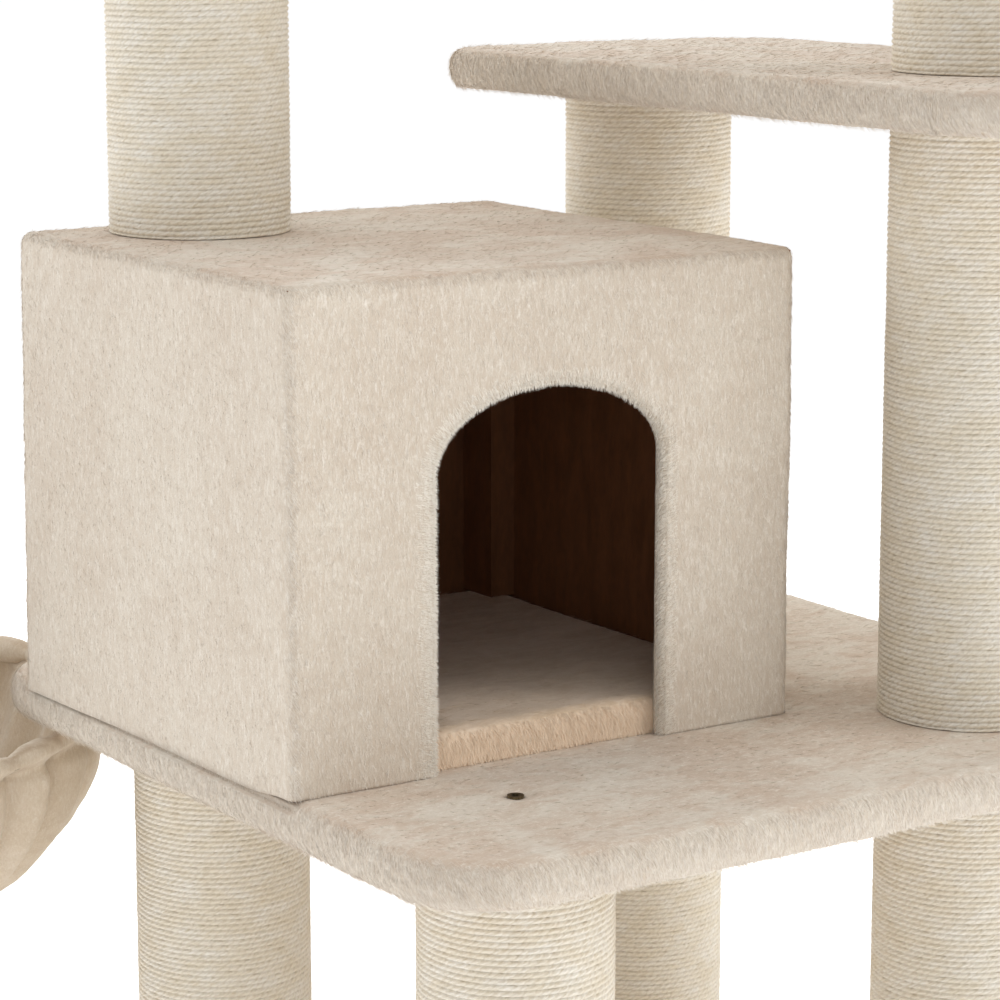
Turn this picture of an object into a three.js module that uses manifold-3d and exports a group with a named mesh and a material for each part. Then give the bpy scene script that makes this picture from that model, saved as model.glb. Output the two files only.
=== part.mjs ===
// Large cat tree: plush-covered decks on sisal-wound posts, a plush-covered house with an arched
// doorway, a long shelf, two perches and a hammock in a steel hoop.
// Millimetres. Origin at the base's underside, at its centre; +X to the right along the doorway's
// wall, +Y to the back, +Z up. The doorway faces -Y.
import * as THREE from 'three';
import { mergeVertices } from 'three/addons/utils/BufferGeometryUtils.js';
import Module from 'manifold-3d';

const wasm = await Module();
wasm.setup();

// ---------------------------------------------------------------- driving dimensions
const GAP = 0.3;            // clearance between touching pieces
const PLUSH = 3;            // plush and its backing, pressed on a board
const EDGE_R = 8;           // rounding of a plush-covered edge
const SEG = 32;             // sides of a post

const POST_R = 75;          // outside of the sisal winding
const ROPE = 5;             // thickness of the sisal rope
const TUBE_WALL = 8;        // cardboard tube
const TUBE_END = 18;        // closed end of the tube
const POST_OFF = 222.5;     // post axes stand on a square of twice this
const POST_SHIFT = { front_left: 3, back_right: 2, front_right: 3 };   // the axes' offsets from it along X
const POST_LEN = 480;

const BASE_SIZE = 800;
const BASE_T = 40;
const DECK_SIZE = 740;
const BOARD_T = 34;         // every plush-covered board above the base
const CORNER_R = 75;

const SHELF_W = 360;        // along X
const SHELF_D = 734;        // along Y
const SHELF_X = 229;
const SHELF_Y = -53;
const SHELF_RISE = 516;     // deck top to shelf top
const SHELF_CORNER_R = 58;
const PERCH_SIZE = 440;

const HOUSE_W = 464;
const HOUSE_D = 436;
const HOUSE_H = 380;
const HOUSE_X0 = -369;      // left side of the house
const HOUSE_Y0 = -151.5;    // its doorway side
const WALL = 9;             // house wall panel
const ROOF = 18;            // house roof panel
const FLOOR_T = 29;         // house floor with its plush
const BATTEN_X = 25;
const BATTEN_Y = 45;
const DOOR_W = 209;
const DOOR_X = HOUSE_X0 + 231.5;
const DOOR_SPRING = 228;    // height of the arch's springing above the deck
const DOOR_RISE = 62;
const ROOF_POST = [-242, 207.5];

const HOOP_R = 225;
const HOOP_TUBE = 6;
const HOOP_SEG = 36;        // sides of the hoop and of the bowl that hangs on it
const HOOP_AT = [-464, 476.5, -62];                        // from the deck's top
const HOOP_UP = new THREE.Vector3(-0.074, -0.025, 1).normalize(); // sags away from the deck
const HEM_R = 10;           // plush hem round the hoop
const BOWL_DEPTH = 187;
const BOWL_WALL = 4;
const CLAMP_ANGLES = { front: -42, back: -31 };            // degrees round the hoop

const CLAMP_IN = 12;        // clamp block's reach inside the hoop's circle
const CLAMP_OUT = 32;       // and outside it
const CLAMP_W = 22;
const SCREW_OUT = 21;       // clamp screw, outside the hoop's circle
const SCREW_R = 2.5;
const SCREW_IN = 20;        // its reach into the deck

const BOLT_R = 4;           // M8
const BORE_R = 4.4;
const HEAD_R = 6.5;
const HEAD_H = 4;
const WASHER_R = 9;
const WASHER_T = 1.5;
const THREAD_IN = 24;       // how far a bolt reaches into a post

// ---------------------------------------------------------------- heights
const DECK_Z0 = BASE_T + POST_LEN;
const DECK_Z1 = DECK_Z0 + BOARD_T;
const SHELF_Z1 = DECK_Z1 + SHELF_RISE;
const SHELF_Z0 = SHELF_Z1 - BOARD_T;
const HOUSE_Z1 = DECK_Z1 + HOUSE_H;
const ROOF_PERCH_Z0 = HOUSE_Z1 + POST_LEN;
const TOP_PERCH_Z0 = SHELF_Z1 + POST_LEN;

// ---------------------------------------------------------------- materials
const MATERIALS = {
  plush: { color: 0xd6c8b6, roughness: 0.95, metalness: 0 },
  sisal: { color: 0xe2d6bb, roughness: 0.9, metalness: 0 },
  board: { color: 0xb89468, roughness: 0.8, metalness: 0 },
  hardboard: { color: 0x5b3b22, roughness: 0.75, metalness: 0 },
  cardboard: { color: 0xa98a63, roughness: 0.9, metalness: 0 },
  steel: { color: 0x6f6a60, roughness: 0.35, metalness: 1 },
  clamp: { color: 0xb9ab97, roughness: 0.55, metalness: 0 },
};

const tree = new THREE.Group();

function add(name, geometry, material) {
  const mesh = new THREE.Mesh(geometry, new THREE.MeshStandardMaterial(MATERIALS[material]));
  mesh.name = name;
  tree.add(mesh);
  return mesh;
}

// ---------------------------------------------------------------- solid helpers
function toSolid(geometry) {
  const plain = geometry.clone();
  plain.deleteAttribute('normal');
  plain.deleteAttribute('uv');
  const merged = mergeVertices(plain, 1e-3);
  return new wasm.Manifold(new wasm.Mesh({
    numProp: 3,
    vertProperties: new Float32Array(merged.attributes.position.array),
    triVerts: new Uint32Array(merged.index.array),
  }));
}

function toGeometry(solid) {
  const mesh = solid.getMesh();
  const geometry = new THREE.BufferGeometry();
  geometry.setAttribute('position', new THREE.BufferAttribute(new Float32Array(mesh.vertProperties), 3));
  geometry.setIndex(new THREE.BufferAttribute(new Uint32Array(mesh.triVerts), 1));
  geometry.computeVertexNormals();
  return geometry;
}

function cut(solid, tools) {
  let left = solid;
  for (const tool of tools) left = left.subtract(tool);
  return left;
}

// An upright round bar from z0 to z1 on the axis x, y.
function rod(x, y, radius, z0, z1, sides = 16) {
  const bar = new THREE.CylinderGeometry(radius, radius, z1 - z0, sides);
  bar.rotateX(Math.PI / 2);
  bar.translate(x, y, (z0 + z1) / 2);
  return toSolid(bar);
}

function block(x0, x1, y0, y1, z0, z1) {
  const box = new THREE.BoxGeometry(x1 - x0, y1 - y0, z1 - z0);
  box.translate((x0 + x1) / 2, (y0 + y1) / 2, (z0 + z1) / 2);
  return box;
}

function roundedRect(width, depth, radius) {
  const x = width / 2;
  const y = depth / 2;
  const shape = new THREE.Shape();
  shape.moveTo(-x + radius, -y);
  shape.lineTo(x - radius, -y);
  shape.absarc(x - radius, -y + radius, radius, -Math.PI / 2, 0);
  shape.lineTo(x, y - radius);
  shape.absarc(x - radius, y - radius, radius, 0, Math.PI / 2);
  shape.lineTo(-x + radius, y);
  shape.absarc(-x + radius, y - radius, radius, Math.PI / 2, Math.PI);
  shape.lineTo(-x, -y + radius);
  shape.absarc(-x + radius, -y + radius, radius, Math.PI, Math.PI * 1.5);
  return shape;
}

// A flat slab with square edges.
function slab(width, depth, radius, x, y, z0, z1) {
  const shape = roundedRect(width, depth, radius);
  const body = new THREE.ExtrudeGeometry(shape, { depth: z1 - z0, bevelEnabled: false, curveSegments: 5 });
  body.translate(x, y, z0);
  return body;
}

// The same slab with its top and bottom edges rounded.
function softSlab(width, depth, radius, edge, x, y, z0, z1) {
  const shape = roundedRect(width - 2 * edge, depth - 2 * edge, radius - edge);
  const body = new THREE.ExtrudeGeometry(shape, {
    depth: z1 - z0 - 2 * edge, bevelThickness: edge, bevelSize: edge, bevelSegments: 2, curveSegments: 5,
  });
  body.translate(x, y, z0 + edge);
  return body;
}

// ---------------------------------------------------------------- plush-covered boards
// bores: [x, y] of each bolt; wide: [x, y, z0, z1] of each sunk bolt head.
function coveredBoard(name, w, d, x, y, z0, z1, bores, wide = [], wrapped = true, pilots = [],
  radius = CORNER_R) {
  const skin = PLUSH;
  const low = wrapped ? z0 + skin : z0;
  const drills = bores.map(([bx, by]) => rod(bx, by, BORE_R, z0 - 1, z1 + 1, 12));
  const heads = wide.map(([hx, hy, h0, h1]) => rod(hx, hy, WASHER_R + 0.6, h0, h1, 16));
  const board = slab(w - 2 * skin - 2 * GAP, d - 2 * skin - 2 * GAP, radius - skin, x, y,
    low + (wrapped ? GAP : 0), z1 - skin - GAP);
  add(`${name}_board`, toGeometry(cut(toSolid(board), [...drills, ...heads, ...pilots])), 'board');

  const outer = toSolid(softSlab(w, d, radius, EDGE_R, x, y, z0 + (wrapped ? 0 : 1.5), z1));
  const pocket = slab(w - 2 * skin, d - 2 * skin, radius - skin + GAP, x, y,
    wrapped ? low : z0 - 5, z1 - skin);
  add(`${name}_cover`, toGeometry(cut(outer, [toSolid(pocket), ...drills, ...heads, ...pilots])), 'plush');
}

// ---------------------------------------------------------------- posts
function post(name, x, y, z0, z1) {
  const low = z0 + GAP;
  const high = z1 - GAP;
  const winding = rod(x, y, POST_R, low, high, SEG);
  const inside = rod(x, y, POST_R - ROPE + GAP, low - 1, high + 1, SEG);
  add(`${name}_sisal`, toGeometry(winding.subtract(inside)), 'sisal');
  const radius = POST_R - ROPE;
  const core = cut(rod(x, y, radius, low, high, SEG), [
    rod(x, y, radius - TUBE_WALL, low + TUBE_END, high - TUBE_END, SEG / 2),
    rod(x, y, BORE_R, low - 1, low + TUBE_END + 1, 12),
    rod(x, y, BORE_R, high - TUBE_END - 1, high + 1, 12),
  ]);
  add(`${name}_core`, toGeometry(core), 'cardboard');
}

// ---------------------------------------------------------------- fasteners
// A socket-head bolt whose head's underside is at z; it points down, or up.
function bolt(name, x, y, z, length, up = false) {
  const way = up ? 1 : -1;
  const span = (from, to) => [Math.min(z + way * from, z + way * to), Math.max(z + way * from, z + way * to)];
  const shank = rod(x, y, BOLT_R, ...span(-1, length), 12);
  const head = rod(x, y, HEAD_R, ...span(-HEAD_H, 0), 16);
  const socket = rod(x, y, 3.2, ...span(-HEAD_H - 1, -HEAD_H + 2.5), 6);
  add(name, toGeometry(head.add(shank).subtract(socket)), 'steel');
}

function stud(name, x, y, z0, z1) {
  add(name, toGeometry(rod(x, y, BOLT_R, z0 - THREAD_IN, z1 + THREAD_IN, 12)), 'steel');
}

// ---------------------------------------------------------------- where the hammock is held
const hoopCentre = new THREE.Vector3(HOOP_AT[0], HOOP_AT[1], DECK_Z1 + HOOP_AT[2]);
const tilt = new THREE.Quaternion().setFromUnitVectors(new THREE.Vector3(0, 0, 1), HOOP_UP);
const toWorld = new THREE.Matrix4().compose(hoopCentre, tilt, new THREE.Vector3(1, 1, 1));
const clamps = Object.entries(CLAMP_ANGLES).map(([where, degrees]) => {
  const angle = THREE.MathUtils.degToRad(degrees);
  const out = new THREE.Vector3(Math.cos(angle), Math.sin(angle), 0);
  const onHoop = out.clone().multiplyScalar(HOOP_R).applyMatrix4(toWorld);
  const screwAt = [onHoop.x + SCREW_OUT * out.x, onHoop.y + SCREW_OUT * out.y];
  return { where, angle, onHoop, screwAt, bottom: onHoop.z - HEM_R };
});
const screwBores = clamps.map(({ screwAt }) => (
  rod(...screwAt, SCREW_R + 0.4, DECK_Z0 - 5, DECK_Z0 + SCREW_IN + 1, 10)));

// ---------------------------------------------------------------- base, lower posts, deck
const CORNERS = {
  front_left: [POST_SHIFT.front_left - POST_OFF, -POST_OFF],
  back_left: [-POST_OFF, POST_OFF],
  back_right: [POST_SHIFT.back_right + POST_OFF, POST_OFF],
  front_right: [POST_SHIFT.front_right + POST_OFF, -POST_OFF],
};
const corner = Object.values(CORNERS);
const HEAD_SUNK = HEAD_H + WASHER_T + 1;       // a bolt head lies this deep in a board

coveredBoard('base', BASE_SIZE, BASE_SIZE, 0, 0, 0, BASE_T, corner,
  corner.map(([x, y]) => [x, y, -1, HEAD_SUNK + 3]), false);
for (const [where, [x, y]] of Object.entries(CORNERS)) {
  post(`post_${where}`, x, y, BASE_T, DECK_Z0);
  bolt(`base_bolt_${where}`, x, y, HEAD_SUNK + 3 - GAP, BASE_T - HEAD_SUNK - 3 + THREAD_IN, true);
}

const sunkZ = DECK_Z1 - HEAD_SUNK - GAP;       // floor of the sunk seat of the deck's visible bolt
coveredBoard('deck', DECK_SIZE, DECK_SIZE, 0, 0, DECK_Z0, DECK_Z1, corner,
  [[...CORNERS.front_left, sunkZ, DECK_Z1 + 1]], true, screwBores);
const washer = rod(...CORNERS.front_left, WASHER_R, sunkZ + GAP, sunkZ + GAP + WASHER_T, 16)
  .subtract(rod(...CORNERS.front_left, BORE_R, sunkZ - 1, DECK_Z1, 12));
add('deck_bolt_washer', toGeometry(washer), 'steel');
bolt('deck_bolt_front_left', ...CORNERS.front_left, sunkZ + WASHER_T + 2 * GAP,
  BOARD_T + THREAD_IN - HEAD_SUNK);
stud('deck_stud_back_right', ...CORNERS.back_right, DECK_Z0, DECK_Z1);
stud('deck_stud_front_right', ...CORNERS.front_right, DECK_Z0, DECK_Z1);

// ---------------------------------------------------------------- shelf on its two posts
coveredBoard('shelf', SHELF_W, SHELF_D, SHELF_X, SHELF_Y, SHELF_Z0, SHELF_Z1,
  [CORNERS.back_right, CORNERS.front_right], [[...CORNERS.back_right, SHELF_Z1 - HEAD_SUNK, SHELF_Z1 + 1]],
  true, [], SHELF_CORNER_R);
post('shelf_post_back', ...CORNERS.back_right, DECK_Z1, SHELF_Z0);
post('shelf_post_front', ...CORNERS.front_right, DECK_Z1, SHELF_Z0);
bolt('shelf_bolt_back', ...CORNERS.back_right, SHELF_Z1 - HEAD_SUNK + GAP, BOARD_T - HEAD_SUNK + THREAD_IN);
stud('shelf_stud_front', ...CORNERS.front_right, SHELF_Z0, SHELF_Z1);

// ---------------------------------------------------------------- the two perches
function perch(name, x, y, z0) {
  const z1 = z0 + BOARD_T;
  coveredBoard(name, PERCH_SIZE, PERCH_SIZE, x, y, z0, z1, [[x, y]], [[x, y, z1 - HEAD_SUNK, z1 + 1]]);
  bolt(`${name}_bolt`, x, y, z1 - HEAD_SUNK + GAP, BOARD_T - HEAD_SUNK + THREAD_IN);
}
post('roof_post', ...ROOF_POST, HOUSE_Z1, ROOF_PERCH_Z0);
perch('roof_perch', ...ROOF_POST, ROOF_PERCH_Z0);
post('top_post', ...CORNERS.front_right, SHELF_Z1, TOP_PERCH_Z0);
perch('top_perch', ...CORNERS.front_right, TOP_PERCH_Z0);

// ---------------------------------------------------------------- house
const x0 = HOUSE_X0;
const x1 = HOUSE_X0 + HOUSE_W;
const y0 = HOUSE_Y0;
const y1 = HOUSE_Y0 + HOUSE_D;
const z0 = DECK_Z1 + GAP;
const skin = PLUSH + GAP;                      // panel's outside, in from the plush's outside
const inner = PLUSH + WALL;                    // inside of a wall
const roofZ0 = HOUSE_Z1 - skin - ROOF;

// The doorway's outline, grown by a margin, as a prism from yFrom to yTo.
function doorway(margin, yFrom, yTo, low = -20) {
  const half = DOOR_W / 2 + margin;
  const outline = new THREE.Shape();
  outline.moveTo(-half, low);
  outline.lineTo(half, low);
  outline.lineTo(half, DOOR_SPRING);
  outline.absellipse(0, DOOR_SPRING, half, DOOR_RISE + margin, 0, Math.PI);
  outline.lineTo(-half, low);
  const prism = new THREE.ExtrudeGeometry(outline, {
    depth: yTo - yFrom, bevelEnabled: false, curveSegments: 9,
  });
  prism.rotateX(Math.PI / 2);
  prism.translate(DOOR_X, yTo, DECK_Z1);
  return toSolid(prism);
}

const below = toSolid(block(x0 - 50, x1 + 50, y0 - 50, y1 + 50, z0 - 60, z0));
const houseOuter = toSolid(softSlab(HOUSE_W, HOUSE_D, EDGE_R + 0.5, EDGE_R, (x0 + x1) / 2, (y0 + y1) / 2,
  z0 - 30, HOUSE_Z1)).subtract(below);
const houseInner = toSolid(block(x0 + PLUSH, x1 - PLUSH, y0 + PLUSH, y1 - PLUSH, z0 - 5, HOUSE_Z1 - PLUSH));
const doorLining = doorway(PLUSH, y0 + 1, y0 + inner, GAP).subtract(doorway(0, y0 - 5, y0 + inner + 5));
const roofBore = rod(...ROOF_POST, BORE_R, roofZ0 - 5, HOUSE_Z1 + 5, 12);
const houseCover = houseOuter.subtract(houseInner).subtract(doorway(0, y0 - 5, y0 + 20))
  .add(doorLining).subtract(roofBore);
add('house_cover', toGeometry(houseCover), 'plush');

const wallTop = roofZ0 - GAP;
const front = toSolid(block(x0 + skin, x1 - skin, y0 + skin, y0 + inner, z0, wallTop));
add('house_front', toGeometry(front.subtract(doorway(PLUSH + GAP, y0 - 5, y0 + 20))), 'hardboard');
add('house_back', block(x0 + skin, x1 - skin, y1 - inner, y1 - skin, z0, wallTop), 'hardboard');
const between = [y0 + inner + GAP, y1 - inner - GAP, z0, wallTop];
add('house_left', block(x0 + skin, x0 + inner, ...between), 'hardboard');
add('house_right', block(x1 - inner, x1 - skin, ...between), 'hardboard');
const roof = toSolid(block(x0 + skin, x1 - skin, y0 + skin, y1 - skin, roofZ0, HOUSE_Z1 - skin));
add('house_roof', toGeometry(roof.subtract(roofBore)), 'hardboard');

// Floor: a plush-covered board between the walls, held by the bolt into the post under it.
const room = [x0 + inner + GAP, x1 - inner - GAP, y0 + inner + GAP, y1 - inner - GAP];
const floorTop = DECK_Z1 + FLOOR_T;
const floorBore = rod(...CORNERS.back_left, BORE_R, DECK_Z1 - 5, floorTop + 5, 12);
const floorSeat = rod(...CORNERS.back_left, WASHER_R + 0.6, floorTop - HEAD_SUNK, floorTop + 1);
const floorBoard = toSolid(block(room[0] + skin, room[1] - skin, room[2] + skin, room[3] - skin,
  z0, floorTop - skin));
add('house_floor_board', toGeometry(cut(floorBoard, [floorBore, floorSeat])), 'board');
const floorOuter = toSolid(softSlab(room[1] - room[0], room[3] - room[2], 6, 5,
  (room[0] + room[1]) / 2, (room[2] + room[3]) / 2, z0 - 12, floorTop)).subtract(below);
const floorPocket = toSolid(block(room[0] + PLUSH, room[1] - PLUSH, room[2] + PLUSH, room[3] - PLUSH,
  z0 - 20, floorTop - PLUSH));
add('house_floor_cover', toGeometry(cut(floorOuter, [floorPocket, floorBore, floorSeat])), 'plush');
bolt('house_floor_bolt', ...CORNERS.back_left, floorTop - HEAD_SUNK + GAP,
  FLOOR_T - HEAD_SUNK + BOARD_T + THREAD_IN);
bolt('roof_post_bolt', ...ROOF_POST, roofZ0 - GAP, ROOF + skin + THREAD_IN, true);

for (const [side, bx] of [['left', room[0]], ['right', room[1] - BATTEN_X]]) {
  for (const [end, by] of [['front', room[2]], ['back', room[3] - BATTEN_Y]]) {
    add(`house_batten_${end}_${side}`,
      block(bx, bx + BATTEN_X, by, by + BATTEN_Y, floorTop + GAP, wallTop), 'hardboard');
  }
}

// ---------------------------------------------------------------- hammock
const ring = (tube) => mergeVertices(
  new THREE.TorusGeometry(HOOP_R, tube, 8, HOOP_SEG).applyMatrix4(toWorld), 1e-3);
add('hammock_hoop', ring(HOOP_TUBE), 'steel');

// Each clamp is a block under the deck with the hoop through it and one screw up into the deck.
const clampHole = toSolid(ring(HOOP_TUBE + 0.4));
const top = DECK_Z0 - GAP;
function clampBox({ angle, onHoop, bottom }, grow) {
  const height = top - bottom + 2 * grow;
  const box = new THREE.BoxGeometry(CLAMP_IN + CLAMP_OUT + 2 * grow, CLAMP_W + 2 * grow, height);
  box.translate((CLAMP_OUT - CLAMP_IN) / 2, 0, (top + bottom) / 2 - onHoop.z);
  box.rotateZ(angle);
  box.translate(onHoop.x, onHoop.y, onHoop.z);
  return toSolid(box);
}
for (const clamp of clamps) {
  const { where, screwAt, bottom } = clamp;
  const screwHole = rod(...screwAt, SCREW_R + 0.4, bottom - 1, top + 1, 10);
  add(`hammock_clamp_${where}`, toGeometry(cut(clampBox(clamp, 0), [clampHole, screwHole])), 'clamp');
  const screw = rod(...screwAt, SCREW_R, bottom - 1, DECK_Z0 + SCREW_IN, 10)
    .add(rod(...screwAt, 5, bottom - 3.5, bottom - GAP, 12));
  add(`hammock_screw_${where}`, toGeometry(screw), 'steel');
}

// The bowl: one wall turned round the hoop's axis, with a hem that closes round the hoop and is
// open by a slit on the inside.
const NECK = -5;            // the wall leaves the hem this far below the hoop's plane
const bowlCurve = (radius, drop, from, to) => {
  const points = [];
  const steps = 7;
  for (let i = 0; i <= steps; i += 1) {
    const t = THREE.MathUtils.lerp(from, to, i / steps) * Math.PI / 2;
    points.push(new THREE.Vector2(radius * Math.sin(t), NECK - (drop + NECK) * Math.cos(t) ** 0.85));
  }
  return points;
};
const hemArc = (radius, fromDeg, toDeg, steps) => {
  const points = [];
  for (let i = 0; i <= steps; i += 1) {
    const a = THREE.MathUtils.degToRad(THREE.MathUtils.lerp(fromDeg, toDeg, i / steps));
    points.push(new THREE.Vector2(HOOP_R + radius * Math.cos(a), radius * Math.sin(a)));
  }
  return points;
};
const profile = [
  ...bowlCurve(HOOP_R + 8.7, BOWL_DEPTH, 0, 1),
  ...hemArc(HEM_R, -10, 240, 6),
  ...hemArc(HEM_R - 3, 240, -30, 6),
  ...bowlCurve(HOOP_R + 4.6, BOWL_DEPTH - BOWL_WALL, 1, 0),
];
const bowl = new THREE.LatheGeometry(profile, HOOP_SEG);
bowl.rotateX(Math.PI / 2);
bowl.applyMatrix4(toWorld);
const bowlSolid = toSolid(bowl);
add('hammock_bowl', toGeometry(cut(bowlSolid, clamps.map((clamp) => clampBox(clamp, 0.6)))), 'plush');

export default tree;
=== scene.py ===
"""A plush and sisal cat tree: soft covers, rope windings and a gathered hammock round the CAD frame.

Everything is in metres, in the CAD frame: +X right along the doorway's wall, +Y back, +Z up.
"""
import math

import bmesh
import bpy
import numpy as np
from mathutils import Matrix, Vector
from mathutils.geometry import tessellate_polygon


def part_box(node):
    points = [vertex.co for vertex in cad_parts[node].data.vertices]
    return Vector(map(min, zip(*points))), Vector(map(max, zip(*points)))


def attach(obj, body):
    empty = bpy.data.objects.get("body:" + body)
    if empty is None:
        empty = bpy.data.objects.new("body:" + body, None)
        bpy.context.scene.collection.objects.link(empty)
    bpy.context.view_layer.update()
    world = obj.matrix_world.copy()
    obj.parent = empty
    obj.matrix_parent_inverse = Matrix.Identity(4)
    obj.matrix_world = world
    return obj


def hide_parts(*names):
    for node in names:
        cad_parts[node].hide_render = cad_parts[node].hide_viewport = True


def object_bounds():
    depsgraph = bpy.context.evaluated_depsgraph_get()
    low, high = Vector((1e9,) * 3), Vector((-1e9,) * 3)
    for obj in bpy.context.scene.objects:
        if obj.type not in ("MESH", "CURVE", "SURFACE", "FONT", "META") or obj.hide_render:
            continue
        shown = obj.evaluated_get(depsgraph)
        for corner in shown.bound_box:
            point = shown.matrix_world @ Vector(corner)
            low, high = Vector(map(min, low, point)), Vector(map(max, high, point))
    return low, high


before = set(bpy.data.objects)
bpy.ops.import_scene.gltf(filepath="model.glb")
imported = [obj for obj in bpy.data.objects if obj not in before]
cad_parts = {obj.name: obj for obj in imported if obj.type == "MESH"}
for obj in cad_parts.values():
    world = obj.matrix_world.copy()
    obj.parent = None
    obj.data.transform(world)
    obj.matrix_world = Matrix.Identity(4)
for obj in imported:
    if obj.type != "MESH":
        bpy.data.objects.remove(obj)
cad_box = [list(corner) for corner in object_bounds()]

MM = 0.001

# ---- sizes
SKIN = 3 * MM  # plush and backing on a board
BOARD_CORNER = 75 * MM  # plan corners of the boards
SHELF_CORNER = 58 * MM
HOUSE_CORNER = 11 * MM
EDGE = 15 * MM  # rounding of a padded board's edge
HOUSE_EDGE = 11 * MM
FLOOR_EDGE = 13 * MM  # rounding of the house floor at the sill
SIDE_PUFF = 3.6 * MM  # the padding bulges this far out of a board's sides
RIM_PUFF = 1.3 * MM  # and this far out of its faces, close to the edges
SHELF_PUFF = (2.4 * MM, 0.3 * MM)
FLOOR_PUFF = (0.0, 0.8 * MM)
CORNER_PUFF = 1.0 * MM  # more, in the middle of a rounded edge
STRAIGHT = 40 * MM  # a rounding that starts this far below a cover leaves its foot straight
PRESSED_IN = 0.25 * MM  # where something stands on the plush
PRESSED_REACH = 14 * MM
GRID = 4.2 * MM  # mesh step on broad plush faces
BASE_GRID = 5 * MM
SHELF_GRID = 3.6 * MM

DOOR_X = 231.5 * MM  # doorway's centre line, from the house's left side
DOOR_HALF = 104.5 * MM
DOOR_SPRING = 228 * MM  # the arch springs this high above the deck
DOOR_RISE = 62 * MM
DOOR_LIP = 6 * MM  # the plush rolls in over this much round the doorway
DOOR_ROLL = (  # rings of the roll: grown by, depth (mm), and how far it has turned inwards
    (3.6, 0.5, 0.4), (1.6, 1.9, 0.8), (0.4, 4.2, 1.0), (0.0, 7.0, 1.0), (0.0, 10.0, 1.0), (0.6, 12.0, 0.9))
HOUSE_CLOTH = 2.4 * MM
SEAM_IN = 13 * MM  # the roof's seams, from its front and left edges
SEAM_WIDTH = 2.4 * MM
FLARE = 6 * MM  # the left wall's foot stands out this far at the back
OVERHANG = 5 * MM  # and hangs this far down over the deck's side

ROPE_PITCH = 4.55 * MM
ROPE_BULGE = 1.7 * MM  # how far a turn stands out of the groove beside it
ROPE_LOW = 0.35 * MM  # the turns' crests, inside the CAD winding's surface
ROPE_ROWS = 5  # mesh rows across one turn
ROPE_COLUMNS = 104  # mesh columns round a post
ROPE_TWIST = 7 * MM  # length of one twist of the strands
TUBE_R = 70.2 * MM  # inside of the winding
FIBRES, FIBRE_R = 260, 0.16 * MM

HOOP_R = 225 * MM
HOOP_UP = Vector((-0.074, -0.025, 1)).normalized()
HEM_R = 10 * MM
HEM_TURN = (238, -12)  # degrees round the hoop's wire, from inside the hoop over it to the neck
HEM_DENT = (3.0 * MM, 2.6 * MM)  # the gathers press into the hem and swell out of it
BOWL_OUT = 8.7 * MM  # the bowl's rim, outside the hoop's circle
BOWL_DEPTH = 187 * MM
NECK = 5 * MM  # the bowl leaves the hem this far below the hoop
PINCH, PINCH_AT, PINCH_WIDTH = 6 * MM, 9 * MM, 6.5 * MM  # how far in and where, below the hem's end
CLAMP_ANGLES = (-42, -31)  # degrees round the hoop
CLAMP_HALF = 12.2 * MM
PLEATS = 26
PLEAT_DEPTH = 22 * MM
SMALL_PLEAT = 3.4 * MM
CLOTH = 3 * MM
HAMMOCK_COLUMNS, HEM_ROWS, BOWL_ROWS = 400, 20, 80

SEAT_R = 6.4 * MM  # hole in the plush over a sunk bolt
SEAT_DIP = 20 * MM  # the plush dips towards it from this far out
SEAT_DEPTH = 2.2 * MM
SEAT_FLOOR = 2.6 * MM  # its rolled rim stays this close to the board's top, or above it
SEAT_GRID = (24 * MM, 1.5 * MM)  # reach and mesh step of the finer mesh round it
SEAT_ROLL = ((0.3, 1.2), (1.2, 2.2), (2.0, 3.0))  # rings under its rim: wider and deeper, mm


# ---- small maths
def noise(points, size, seed=0):
    """Smooth values from -1 to 1 that change over about one size, the same in each run."""
    p = np.asarray(points, float) / size + 11.7 * (seed + 1)
    cell = np.floor(p).astype(np.int64)
    f = p - cell
    f = f * f * (3 - 2 * f)
    total = np.zeros(len(p))
    for corner in range(8):
        offset = np.array([corner & 1, corner >> 1 & 1, corner >> 2])
        c = cell + offset
        h = (c[:, 0] * 73856093) ^ (c[:, 1] * 19349663) ^ (c[:, 2] * 83492791)
        h = ((h ^ (h >> 13)) * 1274126177) & 0x7FFFFFFF
        h = ((h ^ (h >> 15)) * 668265263) & 0x7FFFFFFF
        total += ((h >> 8 & 0xFFFF) / 32767.5 - 1) * np.prod(np.where(offset, f, 1 - f), axis=1)
    return total


def smooth(x, low, high):
    t = np.clip((x - low) / (high - low), 0, 1)
    return t * t * (3 - 2 * t)


def ridge(x, place, width):
    """1 at a place, falling away to 0 within a few widths of it."""
    return np.exp(-((x - place) / width) ** 2)


def unit(vectors):
    """The vectors at length 1."""
    return vectors / np.maximum(np.linalg.norm(vectors, axis=1), 1e-9)[:, None]


def lines(low, high, edge, step, fine=()):
    """Grid lines from low to high, closer in the rounded edges and near each fine (place, reach, step)."""
    x = np.linspace(low, high, 6000)
    local = np.full_like(x, step)
    local[(x < low + edge) | (x > high - edge)] = min(step, edge / 5)
    for at, reach, small in fine:
        local[np.abs(x - at) < reach] = small
    count = np.concatenate(([0], np.cumsum(np.diff(x) / local[1:])))
    number = max(2, int(round(count[-1])))
    return np.interp(np.linspace(0, count[-1], number + 1), count, x)


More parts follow.
